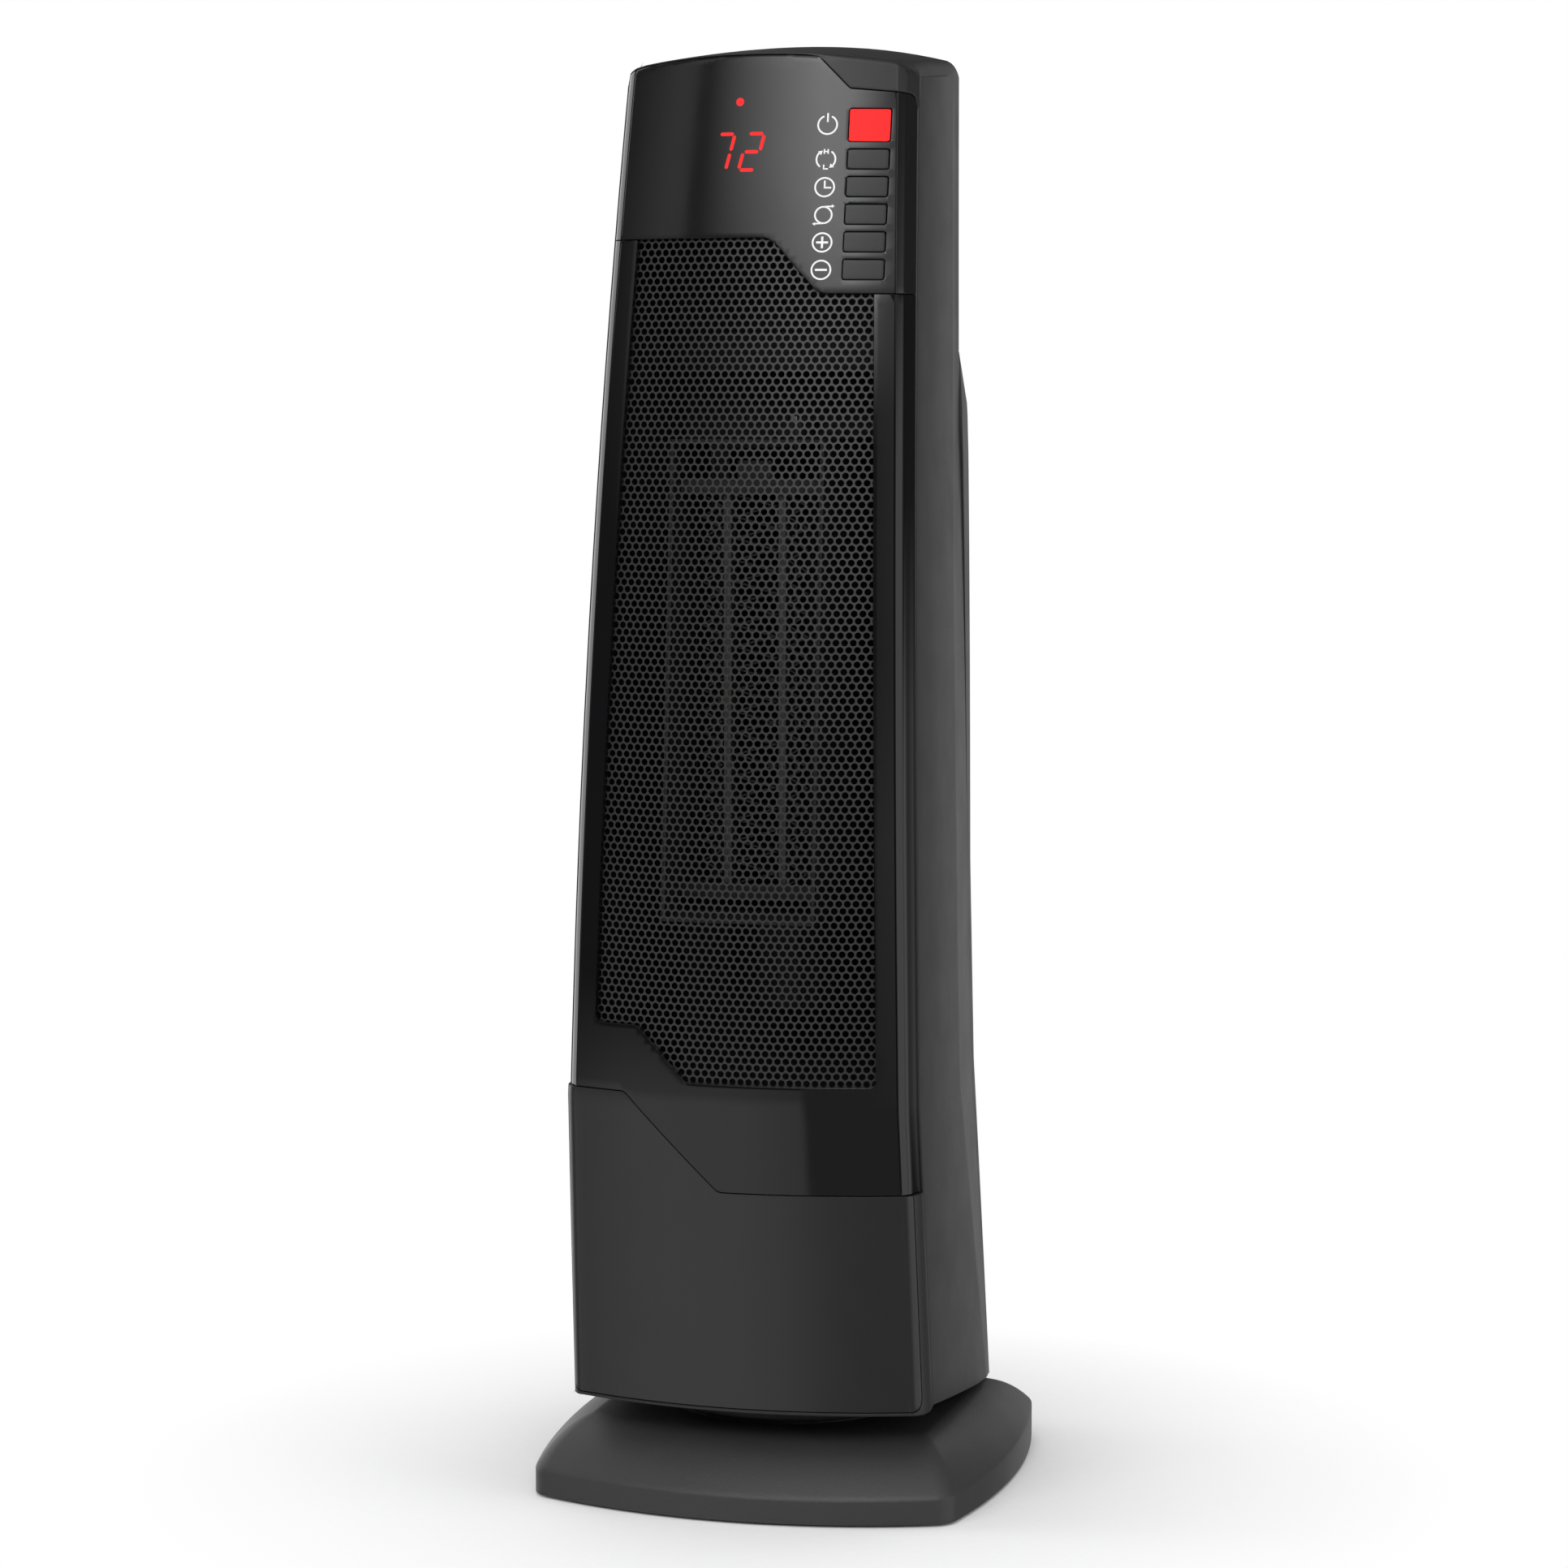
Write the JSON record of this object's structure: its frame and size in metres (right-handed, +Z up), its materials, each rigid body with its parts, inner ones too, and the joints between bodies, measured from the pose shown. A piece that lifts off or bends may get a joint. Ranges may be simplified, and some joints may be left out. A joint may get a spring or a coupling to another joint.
{
  "type": "tower heater",
  "caption": "Upright swinging ceramic heater: bowed front with mesh outlet, display and push buttons, blower and element inside, turning on a square stand.",
  "frame": {"origin": "on the floor under the swing axis, which is also the middle of the stand's outline", "axes": "+Z up along the swing axis, -Y out of the air outlet, +X to the right as seen from the front"},
  "size_m": [0.19, 0.19, 0.5879],
  "materials": {
    "grained_black": "fine grained black moulding",
    "satin_black": "satin black moulding",
    "gloss_black": "polished black plastic",
    "mesh_black": "black coated sheet",
    "red_plastic": "satin red plastic",
    "heat_plastic": "dark heat resistant plastic",
    "white_plastic": "natural plastic",
    "steel": "bare steel",
    "aluminium": "rolled strip",
    "ceramic": "fired ceramic in an aluminium case",
    "board_green": "printed circuit board",
    "rubber": "moulded rubber",
    "plate_steel": "black painted sheet steel"
  },
  "bodies": {
    "stand": {"stand_cover": "grained_black", "bearing_cup": "grained_black", "stand_plate": "plate_steel", "foot_front_left": "rubber", "foot_front_right": "rubber", "foot_rear_left": "rubber", "foot_rear_right": "rubber", "stand_screw_front_left": "steel", "stand_screw_front_right": "steel", "stand_screw_rear_left": "steel", "stand_screw_rear_right": "steel", "drive_guide": "white_plastic", "slide_ring": "white_plastic"},
    "tower": {"tower_floor": "grained_black", "turntable_dish": "grained_black", "retainer": "steel", "swing_motor": "steel", "tower_housing": "grained_black", "rear_cover": "grained_black", "intake_grille": "grained_black", "cord_inlet": "rubber", "rear_screw_bottom_left": "steel", "rear_screw_bottom_right": "steel", "rear_screw_top_left": "steel", "rear_screw_top_right": "steel", "control_panel": "satin_black", "control_board": "board_green", "display_module": "white_plastic", "grille_bezel": "gloss_black", "lower_front_cover": "satin_black", "mesh_grille": "mesh_black", "duct_frame": "heat_plastic", "heater_rail_left": "ceramic", "heater_rail_right": "ceramic", "fin_pack_left": "aluminium", "fin_pack_centre": "aluminium", "fin_pack_right": "aluminium", "element_holder_top": "heat_plastic", "element_holder_bottom": "heat_plastic", "thermal_cutout": "steel", "blower_casing": "heat_plastic", "blower_motor": "steel", "upper_bearing": "steel"},
    "crank": {"swing_crank": "white_plastic"},
    "blower": {"blower_wheel": "plate_steel", "blower_shaft": "steel"},
    "power_button": {"power_button": "red_plastic"},
    "heat_button": {"heat_button": "satin_black"},
    "timer_button": {"timer_button": "satin_black"},
    "swing_button": {"swing_button": "satin_black"},
    "plus_button": {"plus_button": "satin_black"},
    "minus_button": {"minus_button": "satin_black"}
  },
  "joints": [
    {"name": "tower_swing", "type": "hinge", "parent": "stand", "child": "tower", "pos_m": [0, 0, 0.0324], "axis": [0, 0, 1], "range_deg": [-30, 30]},
    {"name": "crank_turn", "type": "hinge", "parent": "tower", "child": "crank", "pos_m": [0, 0.025, 0.0245], "axis": [0, 0, 1], "range_deg": [-90, 90]},
    {"name": "blower_spin", "type": "hinge", "parent": "tower", "child": "blower", "pos_m": [0, 0.008, 0.2415], "axis": [0, 0, 1], "continuous": true},
    {"name": "power_button_press", "type": "slide", "parent": "tower", "child": "power_button", "axis": [0, 1, 0], "range_m": [0, 0.001], "stiffness_N_per_m": 600},
    {"name": "heat_button_press", "type": "slide", "parent": "tower", "child": "heat_button", "axis": [0, 1, 0], "range_m": [0, 0.001], "stiffness_N_per_m": 600},
    {"name": "timer_button_press", "type": "slide", "parent": "tower", "child": "timer_button", "axis": [0, 1, 0], "range_m": [0, 0.001], "stiffness_N_per_m": 600},
    {"name": "swing_button_press", "type": "slide", "parent": "tower", "child": "swing_button", "axis": [0, 1, 0], "range_m": [0, 0.001], "stiffness_N_per_m": 600},
    {"name": "plus_button_press", "type": "slide", "parent": "tower", "child": "plus_button", "axis": [0, 1, 0], "range_m": [0, 0.001], "stiffness_N_per_m": 600},
    {"name": "minus_button_press", "type": "slide", "parent": "tower", "child": "minus_button", "axis": [0, 1, 0], "range_m": [0, 0.001], "stiffness_N_per_m": 600}
  ],
  "couplings": [
    {"joint": "crank_turn", "follows": "tower_swing", "ratio": -3}
  ]
}
